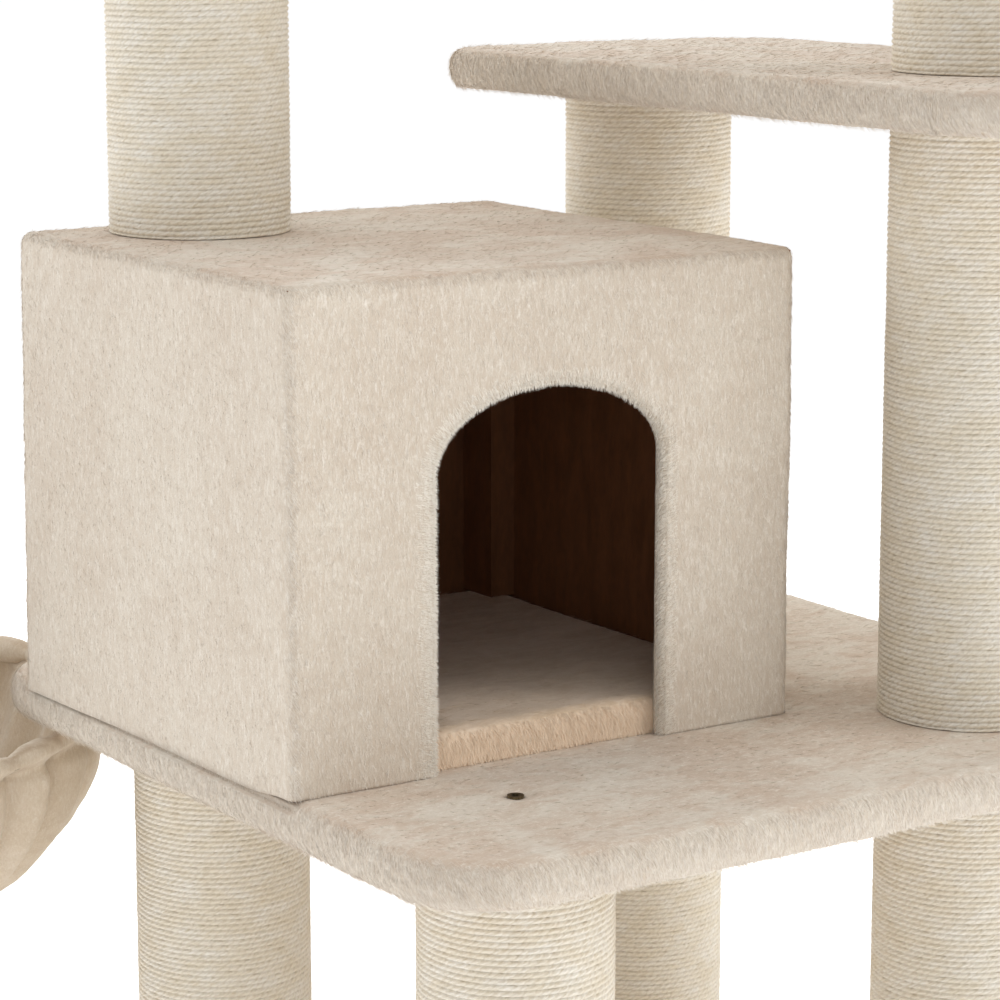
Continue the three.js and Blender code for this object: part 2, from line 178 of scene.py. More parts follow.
# ---- meshes from arrays
def box_grid(axes, sides):
    """Points and quads on the named sides of a box; a capital letter is the high side of its axis."""
    parts = []
    for side in sides:
        axis = "xyz".index(side.lower())
        u, v = (axis + 1) % 3, (axis + 2) % 3
        iu, iv = np.meshgrid(np.arange(len(axes[u]) - 1), np.arange(len(axes[v]) - 1), indexing="ij")
        quad = np.zeros((iu.size, 4, 3), np.int64)
        for n, (du, dv) in enumerate(((0, 0), (1, 0), (1, 1), (0, 1))):
            quad[:, n, u] = iu.ravel() + du
            quad[:, n, v] = iv.ravel() + dv
        if side.isupper():
            quad[:, :, axis] = len(axes[axis]) - 1
        parts.append(quad if side.isupper() else quad[:, ::-1])
    corners = np.concatenate(parts)
    key = (corners[..., 0] << 40) + (corners[..., 1] << 20) + corners[..., 2]
    unique, inverse = np.unique(key, return_inverse=True)
    index = (unique >> 40, unique >> 20 & 0xFFFFF, unique & 0xFFFFF)
    points = np.stack([np.asarray(a)[i] for a, i in zip(axes, index)], 1)
    return points, inverse.reshape(-1, 4)


def rounded(points, low, high, corner, edge):
    """Moves points from a box's surface to the same box with rounded corners and edges.
    Returns them with their outward directions."""
    low, high = np.array(low, float), np.array(high, float)
    centre, half = (low + high) / 2, (high - low) / 2
    q = points - centre
    sign = np.where(q < 0, -1.0, 1.0)
    size = np.abs(q)
    into = np.maximum(size[:, :2] - (half[:2] - corner), 0)
    reach = np.hypot(*into.T)
    both = (into > 0).all(1)
    scale = np.where(both, into.max(1) / np.maximum(reach, 1e-12), 1)
    into = into * scale[:, None]
    size[:, :2] = np.where(into > 0, half[:2] - corner + into, size[:, :2])
    reach = np.hypot(*into.T)
    inset = np.where(both, corner - reach, (half[:2] - size[:, :2]).min(1))
    nearer_x = (half[0] - size[:, 0]) <= (half[1] - size[:, 1])
    straight = np.stack([nearer_x, ~nearer_x], 1).astype(float)
    out2 = np.where(both[:, None], into / np.maximum(reach, 1e-12)[:, None], straight)
    out = np.maximum(edge - inset, 0)
    up = np.maximum(size[:, 2] - (half[2] - edge), 0)
    vector = np.concatenate([out2 * out[:, None], up[:, None]], 1)
    length = np.maximum(np.linalg.norm(vector, axis=1), 1e-12)
    normal = vector / length[:, None]
    moved = size - vector + normal * edge
    return centre + sign * moved, sign * normal


def open_edges(quads, chosen):
    """Directed edges of the quads that no other quad shares, between chosen points."""
    a, b = quads.ravel(), np.roll(quads, -1, axis=1).ravel()
    big = int(quads.max()) + 1
    lone = ~np.isin(a * big + b, b * big + a)
    keep = lone & chosen[a] & chosen[b]
    return a[keep], b[keep]


class Skin:
    """The points, outward directions and faces of one piece while it is built."""

    def __init__(self, points, normals, quads):
        self.points, self.normals, self.quads = points, normals, quads
        self.triangles = []

    def cut(self, inside):
        """Drops every quad with a point inside. Returns the points left round the opening."""
        dropped = inside[self.quads].any(1)
        rim = np.zeros(len(self.points), bool)
        rim[self.quads[dropped].ravel()] = True
        self.quads = self.quads[~dropped]
        kept = np.zeros(len(self.points), bool)
        kept[self.quads.ravel()] = True
        return rim & kept & ~inside

    def extrude(self, rim, rings):
        """Runs new quads from an opening's edges through rings of places and directions. Returns the last
        ring's points."""
        a, b = open_edges(self.quads, rim)
        ids = np.flatnonzero(rim)
        last = np.zeros(len(self.points), np.int64)
        last[ids] = ids
        for place, direction in rings:
            first = len(self.points)
            here = np.zeros(len(last), np.int64)
            here[ids] = first + np.arange(len(ids))
            self.points = np.concatenate([self.points, place])
            self.normals = np.concatenate([self.normals, direction])
            self.quads = np.concatenate([self.quads, np.stack([last[b], last[a], here[a], here[b]], 1)])
            last = here
        return last[ids]

    def add(self, points):
        """Adds points that no pile grows from. Returns the first one's number."""
        first = len(self.points)
        self.points = np.concatenate([self.points, points])
        self.normals = np.concatenate([self.normals, np.zeros((len(points), 3))])
        return first


ROOT_TIP = 0.35  # the "tip" attribute at a blade's root


def make(name, points, faces, material, uv=None, blades=False):
    """A mesh object from arrays of faces, smooth unless it is made of blades. On blades the attribute "tip"
    runs from the root's value to 1 at the tip; elsewhere it is missing, and reads as 0."""
    mesh = bpy.data.meshes.new(name)
    loops = np.concatenate([f.ravel() for f in faces]).astype(np.int32)
    sizes = np.concatenate([np.full(len(f), f.shape[1]) for f in faces])
    mesh.vertices.add(len(points))
    mesh.vertices.foreach_set("co", np.asarray(points, np.float32).ravel())
    mesh.loops.add(len(loops))
    mesh.loops.foreach_set("vertex_index", loops)
    mesh.polygons.add(len(sizes))
    starts = np.concatenate(([0], np.cumsum(sizes)[:-1])).astype(np.int32)
    mesh.polygons.foreach_set("loop_start", starts)
    mesh.polygons.foreach_set("use_smooth", np.full(len(sizes), not blades))
    if uv is not None:
        mesh.uv_layers.new(name="rope").uv.foreach_set("vector", uv.astype(np.float32).ravel())
    mesh.update(calc_edges=True)
    if blades:
        tip = np.tile(np.float32((ROOT_TIP, ROOT_TIP, ROOT_TIP, 1.0)), len(points) // 4)
        mesh.attributes.new("tip", "FLOAT", "POINT").data.foreach_set("value", tip)
    mesh.materials.append(material)
    piece = bpy.data.objects.new(name, mesh)
    bpy.context.scene.collection.objects.link(piece)
    return piece


def thicken(piece, thickness):
    """Gives a one-sided cloth its thickness, inwards, in its own mesh."""
    cloth = piece.modifiers.new("cloth", "SOLIDIFY")
    cloth.thickness, cloth.offset, cloth.use_rim = thickness, -1, True
    graph = bpy.context.evaluated_depsgraph_get()
    old = piece.data
    mesh = bpy.data.meshes.new_from_object(piece.evaluated_get(graph))
    piece.modifiers.clear()
    piece.data = mesh
    mesh.name = piece.name
    bpy.data.meshes.remove(old)


def drop_unused(points, faces):
    """The points that faces use, and the faces renumbered."""
    used = np.zeros(len(points), bool)
    for f in faces:
        used[f.ravel()] = True
    number = np.cumsum(used) - 1
    return points[used], [number[f] for f in faces]


# ---- node materials
def shader(name, **values):
    """A material with its values set on the shader's own sockets, its node tree and the shader."""
    material = bpy.data.materials.new(name)
    material.use_nodes = True
    tree = material.node_tree
    principled = next(n for n in tree.nodes if n.type == "BSDF_PRINCIPLED")
    for socket, value in values.items():
        principled.inputs[socket.replace("_", " ")].default_value = value
    return material, tree, principled


def node(tree, kind, inputs=(), **settings):
    made = tree.nodes.new("ShaderNode" + kind)
    for key, value in settings.items():
        setattr(made, key, value)
    for key, value in dict(inputs).items():
        if isinstance(value, bpy.types.NodeSocket):
            tree.links.new(value, made.inputs[key])
        else:
            made.inputs[key].default_value = value
    return made


def math_node(tree, operation, a, b=0.0):
    return node(tree, "Math", {0: a, 1: b}, operation=operation).outputs[0]


def times(tree, a, b):
    return math_node(tree, "MULTIPLY", a, b)


def plus(tree, a, b):
    return math_node(tree, "ADD", a, b)


def scaled(tree, vector, scale):
    return node(tree, "Mapping", {"Vector": vector, "Scale": scale}).outputs[0]


def noise_node(tree, vector, scale, detail=2.0, rough=0.5, distortion=0.0):
    return node(tree, "TexNoise", {"Vector": vector, "Scale": scale, "Detail": detail,
                                   "Roughness": rough, "Distortion": distortion}).outputs[0]


def blended(tree, factor, a, b):
    mix = tree.nodes.new("ShaderNodeMix")
    mix.data_type = "RGBA"
    for socket, value in ((mix.inputs[0], factor), (mix.inputs[6], a), (mix.inputs[7], b)):
        if isinstance(value, bpy.types.NodeSocket):
            tree.links.new(value, socket)
        else:
            socket.default_value = value
    return mix.outputs[2]


def spread(tree, value, low, high, to_low=0.0, to_high=1.0):
    return node(tree, "MapRange", {0: value, 1: low, 2: high, 3: to_low, 4: to_high}).outputs[0]


def colour(red, green, blue):
    """A linear colour from display values of 0 to 255."""
    return tuple((v / 255 / 12.92 if v <= 10 else ((v / 255 + 0.055) / 1.055) ** 2.4)
                 for v in (red, green, blue)) + (1.0,)


def bump(tree, principled, height, distance, strength=1.0):
    made = node(tree, "Bump", {"Height": height, "Distance": distance, "Strength": strength})
    tree.links.new(made.outputs[0], principled.inputs["Normal"])


def plush_material(name, *tones):
    """Short velour pile in light, dark, tip and warm shade tones: brushed patches, a fine grain, and fibres
    that lie down the sides and along the tops. The tops take the warm shade tone where the sides take the dark
    one, painted shade; the grain is lighter on its crests and darker in its hollows, painted highlight and
    painted shade; blade tips are lighter, the pile's own paler tips with painted light on them."""
    light, dark, tip, warm_shade = (colour(*tone) for tone in tones)
    material, tree, principled = shader(
        name, Roughness=0.95, Specular_IOR_Level=0.1, Sheen_Weight=0.3, Sheen_Roughness=0.5,
        Sheen_Tint=(1.0, 0.97, 0.93, 1.0))
    where = node(tree, "TexCoord").outputs["Object"]
    facing = node(tree, "SeparateXYZ", {0: node(tree, "NewGeometry").outputs["Normal"]}).outputs[2]
    level = spread(tree, math_node(tree, "ABSOLUTE", facing), 0.55, 0.85)
    broad = noise_node(tree, scaled(tree, where, (1, 1, 0.6)), 9, 3, 0.55, 0.9)
    patch = noise_node(tree, scaled(tree, where, (0.45, 1, 1)), 38, 4, 0.62, 1.4)
    grain = noise_node(tree, where, 640, 3, 0.7)
    side = noise_node(tree, scaled(tree, where, (1, 1, 0.22)), 620, 3, 0.65, 0.5)
    top = noise_node(tree, scaled(tree, where, (0.28, 1, 1)), 520, 3, 0.65, 0.6)
    clump = noise_node(tree, scaled(tree, where, (1, 1, 0.4)), 210, 3, 0.6, 0.8)
    fibre = node(tree, "Mix", {0: level, 2: side, 3: top}).outputs[0]
    brushed = plus(tree, times(tree, broad, 0.5), times(tree, patch, 0.5))
    wall = blended(tree, spread(tree, brushed, 0.3, 0.68), dark, light)
    # the tops take a warmer, darker tone by their facing alone: painted shade
    flat = blended(tree, spread(tree, brushed, 0.42, 0.58), warm_shade, light)
    base = blended(tree, level, wall, flat)
    strands = plus(tree, times(tree, fibre, 0.45), times(tree, clump, 0.25))
    fleck = plus(tree, times(tree, grain, 0.3), strands)
    # over the fibre mottle, lighter on the grain's crests and warmer and darker in its hollows: painted
    # highlight and painted shade
    painted_light_tone = blended(tree, spread(tree, fleck, 0.5, 0.66), base, tip)
    shown = blended(tree, spread(tree, fleck, 0.5, 0.36, 0.0, 0.6), painted_light_tone, warm_shade)
    # blades lighter towards their tips: the pile's paler tips, with painted light that offsets the shade
    # between blades
    tips = node(tree, "Attribute", attribute_name="tip").outputs["Fac"]
    mixed = blended(tree, spread(tree, tips, 0.0, 1.0, 0.62, 1.0), base, shown)
    mixed = blended(tree, times(tree, tips, 0.6), mixed, tip)
    tree.links.new(mixed, principled.inputs["Base Color"])
    bump(tree, principled, fleck, spread(tree, level, 0.0, 1.0, 1.4 * MM, 0.5 * MM), 0.85)
    return material


def sisal_material():
    """Wound rope: pale twisted strands, greyer and yellower stretches, painted shade in the hollows of the
    twist and in the grooves between the turns.
    """
    material, tree, principled = shader("sisal_rope", Roughness=0.85, Specular_IOR_Level=0.2)
    along_across = node(tree, "SeparateXYZ", {0: node(tree, "UVMap", uv_map="rope").outputs[0]})
    along, across = along_across.outputs[0], along_across.outputs[1]
    where = node(tree, "TexCoord").outputs["Object"]
    turn = math_node(tree, "SUBTRACT", math_node(tree, "DIVIDE", along, ROPE_TWIST), across)
    wander = noise_node(tree, where, 160, 2)
    phase = plus(tree, turn, times(tree, wander, 1.6))
    wave = math_node(tree, "SINE", times(tree, phase, 2 * math.pi))
    strand = spread(tree, wave, -1, 1)
    fibre_at = node(tree, "CombineXYZ", {0: times(tree, along, 110), 1: times(tree, turn, 7.0)}).outputs[0]
    fibre = noise_node(tree, fibre_at, 1.0, 3, 0.6)
    edge = math_node(tree, "ABSOLUTE", math_node(tree, "SUBTRACT", times(tree, across, 2), 1))
    groove = math_node(tree, "POWER", edge, 3.5)
    stretch = noise_node(tree, scaled(tree, where, (1, 1, 2.4)), 34, 3, 0.6)
    pale = blended(tree, spread(tree, stretch, 0.38, 0.66), colour(233, 224, 207), colour(240, 235, 225))
    fibres = blended(tree, spread(tree, fibre, 0.3, 0.5), colour(216, 204, 180), pale)
    # darker in the hollows between the twisted strands: painted shade
    painted_light_tone = blended(tree, times(tree, spread(tree, wave, -0.2, -1.0), 0.26), fibres, colour(188, 170, 140))
    # darker towards each turn's edges, in the grooves between the turns, more in some stretches than others:
    # painted shade
    groove_shade_at = node(tree, "CombineXYZ", {0: times(tree, along, 95),
                                       1: math_node(tree, "FLOOR", plus(tree, across, 0.5)),
                                       2: times(tree, stretch, 9)}).outputs[0]
    groove_shade_strength = spread(tree, noise_node(tree, groove_shade_at, 1.0, 2, 0.5), 0.56, 0.66, 0.22, 1.0)
    rope_with_groove_shade = blended(tree, times(tree, groove, times(tree, groove_shade_strength, 0.75)), painted_light_tone, colour(150, 128, 94))
    tree.links.new(rope_with_groove_shade, principled.inputs["Base Color"])
    height = plus(tree, times(tree, strand, 0.6), times(tree, fibre, 0.5))
    bump(tree, principled, height, 0.8 * MM, 0.8)
    return material


def grained_material(name, light, dark, scale, stretched, rough, lift, metallic=0.0):
    """Two tones in a grain of one size, with a matching relief: boards, card, moulded plastic and metal."""
    material, tree, principled = shader(name, Roughness=rough, Metallic=metallic)
    where = scaled(tree, node(tree, "TexCoord").outputs["Object"], stretched)
    coarse = noise_node(tree, where, scale, 4, 0.6, 0.4)
    fine = noise_node(tree, where, scale * 6, 2, 0.6)
    both = plus(tree, times(tree, coarse, 0.65), times(tree, fine, 0.35))
    tone = blended(tree, spread(tree, both, 0.35, 0.65), colour(*dark), colour(*light))
    uneven = spread(tree, both, 0.3, 0.7, rough * 0.85, min(1.0, rough * 1.12))
    tree.links.new(tone, principled.inputs["Base Color"])
    tree.links.new(uneven, principled.inputs["Roughness"])
    bump(tree, principled, both, lift, 0.6)
    return material


PLUSH = plush_material("plush_velour", (216, 206, 191), (204, 190, 173), (249, 243, 234), (201, 181, 161))
# a lighter copy of the plush for the doorway's fringe: painted light that offsets the shade among its blades
PLUSH_FRINGE_LIGHTENED = plush_material(
    "plush_fringe_painted_light", (238, 230, 217), (228, 218, 202), (250, 246, 238), (218, 202, 182))
# a lighter, warmer copy for the house's floor: painted light for the warm light bounced round inside the house
PLUSH_FLOOR_PAINTED_BOUNCE = plush_material(
    "plush_house_floor_painted_bounce", (240, 217, 192), (228, 203, 176), (246, 230, 208), (222, 196, 166))
# a darker, warmer copy of the plush for the hammock: painted shade
PLUSH_HAMMOCK_SHADED = plush_material(
    "plush_hammock_painted_shade", (220, 206, 187), (204, 187, 164), (232, 224, 211), (194, 174, 150))
ROPE = sisal_material()
HARDBOARD = grained_material("hardboard_panel", (136, 88, 54), (111, 69, 39), 60, (1, 1, 0.3), 0.8, 0.3 * MM)
CHIPBOARD = grained_material("chipboard", (196, 164, 122), (150, 116, 78), 210, (1, 1, 1.4), 0.85, 0.5 * MM)
CARDBOARD = grained_material("spiral_card", (178, 146, 106), (156, 124, 86), 90, (1, 1, 4), 0.9, 0.2 * MM)
STEEL = grained_material("plated_steel", (150, 136, 104), (84, 76, 62), 420, (1, 1, 1), 0.38, 0.05 * MM, 1.0)
PLASTIC = grained_material("moulded_plastic", (190, 178, 160), (178, 165, 146), 900, (1, 1, 1), 0.5, 0.1 * MM)


# ---- pile
TUFT_R, TUFT_LENGTH = 0.34 * MM, 7.5 * MM
HOUSE_TUFT_R, HOUSE_TUFT_LENGTH = 0.3 * MM, 5.5 * MM
TUFT_LEAN = 1.45  # from the surface's direction, in radians
TUFT_STRAY = 0.16
TUFT_OUT = 0.05 * MM  # its root, off the surface
NAP = np.array([0.35, -0.75, -1.2])  # the pile is brushed this way


def blade_triangles(count):
    """The triangles of closed blades that have three points at the root and one at the tip."""
    each = np.array([(0, 1, 3), (1, 2, 3), (2, 0, 3), (0, 2, 1)])
    return (np.arange(count)[:, None, None] * 4 + each).reshape(-1, 3)


def tufts(skin, faces, weights, count, length, width, lean, rng, follow=None, facing=None):
    """Closed flat blades of pile rooted in some of a skin's quads. They lie along the nap unless follow gives
    another way, and face the way the skin does unless a facing is given. Returns points and triangles."""
    quads = skin.quads[faces]
    corner = skin.points[quads]
    area = np.linalg.norm(np.cross(corner[:, 2] - corner[:, 0], corner[:, 3] - corner[:, 1]), axis=1) / 2
    chance = area * weights
    pick = rng.choice(len(quads), count, p=chance / chance.sum())
    u, v = rng.random((2, count, 1))
    root = ((corner[pick, 0] * (1 - u) + corner[pick, 1] * u) * (1 - v)
            + (corner[pick, 3] * (1 - u) + corner[pick, 2] * u) * v)
    normals = unit(skin.normals[quads[pick]].mean(1))
    way = np.broadcast_to(NAP, root.shape) if follow is None else follow(root)
    way = unit(way - normals * (way * normals).sum(1)[:, None])
    way = way + rng.normal(0, TUFT_STRAY, root.shape)
    axis = unit(normals * math.cos(lean) + way * math.sin(lean))
    flat_to = normals if facing is None else np.broadcast_to(np.asarray(facing, float), root.shape)
    across = unit(np.cross(axis, flat_to))
    size = width * rng.uniform(0.6, 1.15, (count, 1))
    root = root + normals * TUFT_OUT
    points = np.stack([root - across * size, root + across * size, root - flat_to * size * 0.8,
                       root + axis * length * rng.uniform(0.6, 1.25, (count, 1))], 1)
    return points.reshape(-1, 3), blade_triangles(count)


def edge_share(skin):
    """From 0 on a flat face to 1 in the middle of a rounded edge, for each quad."""
    return smooth(1 - np.abs(unit(skin.normals[skin.quads].mean(1))).max(1), 0.0, 0.16)


def pile(name, groups, material=PLUSH):
    """One piece of every group of tufts."""
    firsts = np.cumsum([0] + [len(places) for places, _ in groups])
    piece = make(name, np.concatenate([places for places, _ in groups]),
                 [np.concatenate([triangles + first for (_, triangles), first in zip(groups, firsts)])],
                 material, blades=True)
    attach(piece, "root")


# ---- plush-covered boards
def outline(low, high, corner, each=7):
    """The rounded rectangle between two corners, anticlockwise."""
    around = []
    for cx, cy, start in ((high[0] - corner, high[1] - corner, 0), (low[0] + corner, high[1] - corner, 90),
                          (low[0] + corner, low[1] + corner, 180), (high[0] - corner, low[1] + corner, 270)):
        angles = np.radians(start + np.linspace(0, 90, each))
        around.append(np.stack([cx + corner * np.cos(angles), cy + corner * np.sin(angles)], 1))
    return np.concatenate(around)


def plate(loops, points, up):
    """Triangles that fill the first loop less the others; the loops are lists of indices into points."""
    flat = [[Vector((points[i][0], points[i][1], 0)) for i in loop] for loop in loops]
    index = np.concatenate([np.asarray(loop) for loop in loops])
    made = index[np.array(tessellate_polygon(flat))]
    a, b, c = (np.asarray(points)[made[:, n]][:, :2] for n in range(3))
    turn = np.cross(b - a, c - a)
    made = made[np.abs(turn) > 1e-14]
    turn = turn[np.abs(turn) > 1e-14]
    wrong = (turn > 0) != up
    made[wrong] = made[wrong][:, ::-1]
    return made


def board_relief(points, normals, low, high, edge, puff, pressed, open_below, seed):
    """How far each point of a board's plush stands off its rounded box: soft lumps, padding along the sides
    and rims, and none where something presses on it."""
    raised = MM * (0.7 * noise(points, 85 * MM, seed) + 0.45 * noise(points, 22 * MM, seed + 1)
                   + 0.35 * noise(points, 7 * MM, seed + 2) - 0.35)
    inset = np.minimum(points[:, :2] - np.array(low)[:2], np.array(high)[:2] - points[:, :2]).min(1)
    puffed = (puff[0] * np.hypot(normals[:, 0], normals[:, 1])
              + puff[1] * np.abs(normals[:, 2]) * (1 - smooth(inset, edge, 3 * edge))
              + CORNER_PUFF * smooth(1 - np.abs(normals).max(1), 0.0, 0.25))
    if open_below:
        puffed *= smooth(points[:, 2], low.z + 2 * MM, low.z + 12 * MM)
    for x0, x1, y0, y1, on_top in pressed:
        past_x = np.maximum(np.abs(points[:, 0] - (x0 + x1) / 2) - (x1 - x0) / 2, 0)
        past_y = np.maximum(np.abs(points[:, 1] - (y0 + y1) / 2) - (y1 - y0) / 2, 0)
        held = 1 - smooth(np.hypot(past_x, past_y), 0, PRESSED_REACH)
        held = held * ((normals[:, 2] > 0.5) == on_top)
        raised = raised * (1 - held) - PRESSED_IN * held
        puffed = puffed * (1 - held)
    return raised + puffed


def cut_seat(skin, seat, board_z):
    """Opens the hole over a sunk bolt: the plush dips to it, and rolls in down to the board. Returns the
    points of its last ring in order."""
    away = np.hypot(*(skin.points[:, :2] - seat).T)
    top = skin.normals[:, 2] > 0.9
    skin.points[:, 2] -= SEAT_DEPTH * (1 - smooth(away, SEAT_R, SEAT_DIP)) * top
    rim = skin.cut((away < SEAT_R) & top)
    place = skin.points[rim]
    out = unit(place[:, :2] - seat)
    place[:, :2] = seat + out * SEAT_R
    skin.points[rim] = place
    rings = []
    for wider, deeper in SEAT_ROLL:
        ring = place.copy()
        ring[:, :2] = seat + out * (SEAT_R + wider * MM)
        ring[:, 2] = np.maximum(place[:, 2] - deeper * MM, board_z - SEAT_FLOOR)
        rings.append((ring, np.column_stack([-out, np.zeros(len(out))])))
    last = skin.extrude(rim, rings)
    skin.points[last, 2] = board_z
    across = skin.points[last, :2] - seat
    return last[np.argsort(np.arctan2(across[:, 1], across[:, 0]))]


def loop_round(follows, first):
    """The points of a closed run of edges, from the first one on."""
    loop = [first]
    while follows[loop[-1]] != first:
        loop.append(follows[loop[-1]])
    return loop


def line_inside(skin, low, high, corner, rims, open_below):
    """Adds the cover's inner faces, where the board lies."""
    inner = outline((low.x + SKIN, low.y + SKIN), (high.x - SKIN, high.y - SKIN), corner - SKIN)
    count = len(inner)
    floor_z = low.z if open_below else low.z + SKIN
    first = skin.add(np.concatenate([np.column_stack([inner, np.full(count, z)])
                                     for z in (floor_z, high.z - SKIN)]))
    below, above = first + np.arange(count), first + count + np.arange(count)
    skin.triangles.append(plate([above, *rims], skin.points, up=False))
    if open_below:
        lowest = skin.points[:, 2] < low.z + 8 * MM
        lowest[first:] = False
        a, b = open_edges(skin.quads, lowest)
        outside = loop_round(dict(zip(a.tolist(), b.tolist())), int(a[0]))
        skin.triangles.append(plate([outside, below], skin.points, up=False))
    else:
        skin.triangles.append(plate([below], skin.points, up=True))
    walls = np.stack([below, above, np.roll(above, -1), np.roll(below, -1)], 1)
    skin.quads = np.concatenate([skin.quads, walls])


def covered_board(name, corner=BOARD_CORNER, seats=(), pressed=(), tuft_count=18000, open_below=False,
                  step=GRID, edge=EDGE, puff=(SIDE_PUFF, RIM_PUFF), straight=0.0, material=PLUSH, seed=1):
    """The plush round a board, and its pile: seats are [x, y] of sunk bolts in its top, pressed are
    (x0, x1, y0, y1, top?) places where something stands on it or under it. The rounding of the lower edge
    starts a straight length below the board."""
    low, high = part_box(name)
    fine_x, fine_y = ([(place, *SEAT_GRID) for place in {seat[axis] for seat in seats}] for axis in (0, 1))
    axes = (lines(low.x, high.x, edge, step, fine_x), lines(low.y, high.y, edge, step, fine_y),
            lines(low.z, high.z, edge, step))
    points, quads = box_grid(axes, "xXyYZ" if open_below else "xXyYzZ")
    points, normals = rounded(points, Vector((low.x, low.y, low.z - straight)), high, corner, edge)
    relief = board_relief(points, normals, low, high, edge, puff, pressed, open_below, seed)
    skin = Skin(points + normals * relief[:, None], normals, quads)
    rims = [cut_seat(skin, seat, high.z - SKIN) for seat in seats]
    surface = skin.quads
    line_inside(skin, low, high, corner, rims, open_below)
    points, faces = drop_unused(skin.points, [skin.quads, np.concatenate(skin.triangles)])
    piece = make(name.replace("cover", "plush"), points, faces, material)
    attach(piece, "root")
    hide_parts(name)

    # pile along the edges and down the sides
    outside = Skin(skin.points, skin.normals, surface)
    upward = skin.normals[surface].mean(1)[:, 2]
    weights = 0.05 + 0.95 * smooth(1 - np.abs(upward), 0.02, 0.3)
    chosen = np.flatnonzero(upward > -0.8)
    blades = tufts(outside, chosen, weights[chosen], tuft_count, TUFT_LENGTH, TUFT_R, TUFT_LEAN,
                   np.random.default_rng(seed))
    pile(name.replace("cover", "pile"), [blades], material)


def centre_of(node_name):
    """[x, y] of a node's middle."""
    low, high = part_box(node_name)
    return (low.x + high.x) / 2, (low.y + high.y) / 2


def foot(node_name, on_top):
    """The place where a node stands on a board's top, or meets its underside."""
    low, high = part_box(node_name)
    return low.x, high.x, low.y, high.y, on_top


POSTS = [n[:-6] for n in sorted(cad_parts) if n.endswith("_sisal")]
LOWER = [n for n in POSTS if n.startswith("post_")]
covered_board("base_cover", pressed=[foot(f"{n}_sisal", True) for n in LOWER], open_below=True,
              tuft_count=20000, step=BASE_GRID, seed=11)
covered_board("deck_cover", seats=[centre_of("deck_bolt_front_left")],
              pressed=[foot(f"{n}_sisal", False) for n in LOWER]
              + [foot("shelf_post_back_sisal", True), foot("shelf_post_front_sisal", True),
                 foot("house_cover", True)],
              tuft_count=48000, seed=21)
covered_board("shelf_cover", corner=SHELF_CORNER, puff=SHELF_PUFF, seats=[centre_of("shelf_bolt_back")],
              pressed=[foot("shelf_post_back_sisal", False), foot("shelf_post_front_sisal", False),
                       foot("top_post_sisal", True)], tuft_count=40000, step=SHELF_GRID, seed=31)
covered_board("roof_perch_cover", seats=[centre_of("roof_perch_bolt")],
              pressed=[foot("roof_post_sisal", False)], seed=41)
covered_board("top_perch_cover", seats=[centre_of("top_perch_bolt")],
              pressed=[foot("top_post_sisal", False)], seed=51)


# ---- the house's plush
DECK_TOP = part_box("deck_cover")[1].z


def door_parts(points, house_low, margin):
    """How far points are inside the doorway's outline grown by a margin (below 1 is inside), and what
    door_ring needs to lay each of them on that outline."""
    x = points[:, 0] - (house_low.x + DOOR_X)
    z = points[:, 2] - (DECK_TOP + DOOR_SPRING)
    wide, tall = DOOR_HALF + margin, DOOR_RISE + margin
    arch = z > 0
    share = np.where(arch, np.hypot(x / wide, z / tall), np.abs(x) / wide)
    angle = np.arctan2(z / tall, x / wide)
    return share, (np.sign(x), z, arch, angle)


def door_ring(facts, house_low, margin, y):
    """Places on the doorway's outline, grown by a margin, at depth y."""
    side, z, arch, angle = facts
    wide, tall = DOOR_HALF + margin, DOOR_RISE + margin
    x = np.where(arch, wide * np.cos(angle), side * wide)
    up = np.where(arch, tall * np.sin(angle), z)
    return np.column_stack([x + house_low.x + DOOR_X, np.full(len(x), 1.0) * y, up + DECK_TOP + DOOR_SPRING])


def house_relief(points, normals, low, high, deep, door_share):
    """How far the house's plush stands off its rounded box: soft lumps, padded edges, seams a little behind
    the front and left edges, and none where the post stands on the roof."""
    on_roof = normals[:, 2] > 0.9
    raised = (0.9 * noise(points, 120 * MM, 61) + 0.4 * noise(points, 26 * MM, 62)
              + 0.3 * noise(points, 7 * MM, 63) - 0.2)
    seams = np.maximum(ridge(points[:, 1], low.y + SEAM_IN, SEAM_WIDTH),
                       ridge(points[:, 0], low.x + SEAM_IN, SEAM_WIDTH))
    upright = ridge(points[:, 0], low.x + 12 * MM, 2.2 * MM) * (normals[:, 1] < -0.9)
    raised -= 2.2 * seams * on_roof + 1.1 * upright
    raised += 1.1 * smooth(1 - np.abs(normals).max(1), 0.0, 0.25)
    inset = np.sort(np.minimum(points - np.array(deep), np.array(high) - points), axis=1)[:, 1]
    raised += 0.7 * (1 - smooth(inset, 8 * MM, 26 * MM)) * (door_share > 1.2)
    post_low, post_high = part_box("roof_post_sisal")
    post_r = (post_high.x - post_low.x) / 2
    away = np.hypot(*(points[:, :2] - centre_of("roof_post_sisal")).T)
    held = (1 - smooth(away, post_r, post_r + 12 * MM)) * on_roof
    return raised * MM * (1 - held) - PRESSED_IN * held


def stretch_foot(points, low, high):
    """Lets the left wall's foot stand out towards the back, and hang over the deck's side."""
    back = smooth(points[:, 1], high.y - 220 * MM, high.y - 10 * MM)
    left = 1 - smooth(points[:, 0], low.x, low.x + 120 * MM)
    down = np.clip((high.z - points[:, 2]) / (high.z - low.z), 0, 1)
    points[:, 0] -= FLARE * back * left * down
    foot_of_wall = (points[:, 2] < low.z + 0.1 * MM) & (points[:, 0] < low.x + 8 * MM)
    points[:, 2] -= OVERHANG * foot_of_wall * smooth(points[:, 1], low.y + 6 * MM, low.y + 70 * MM)


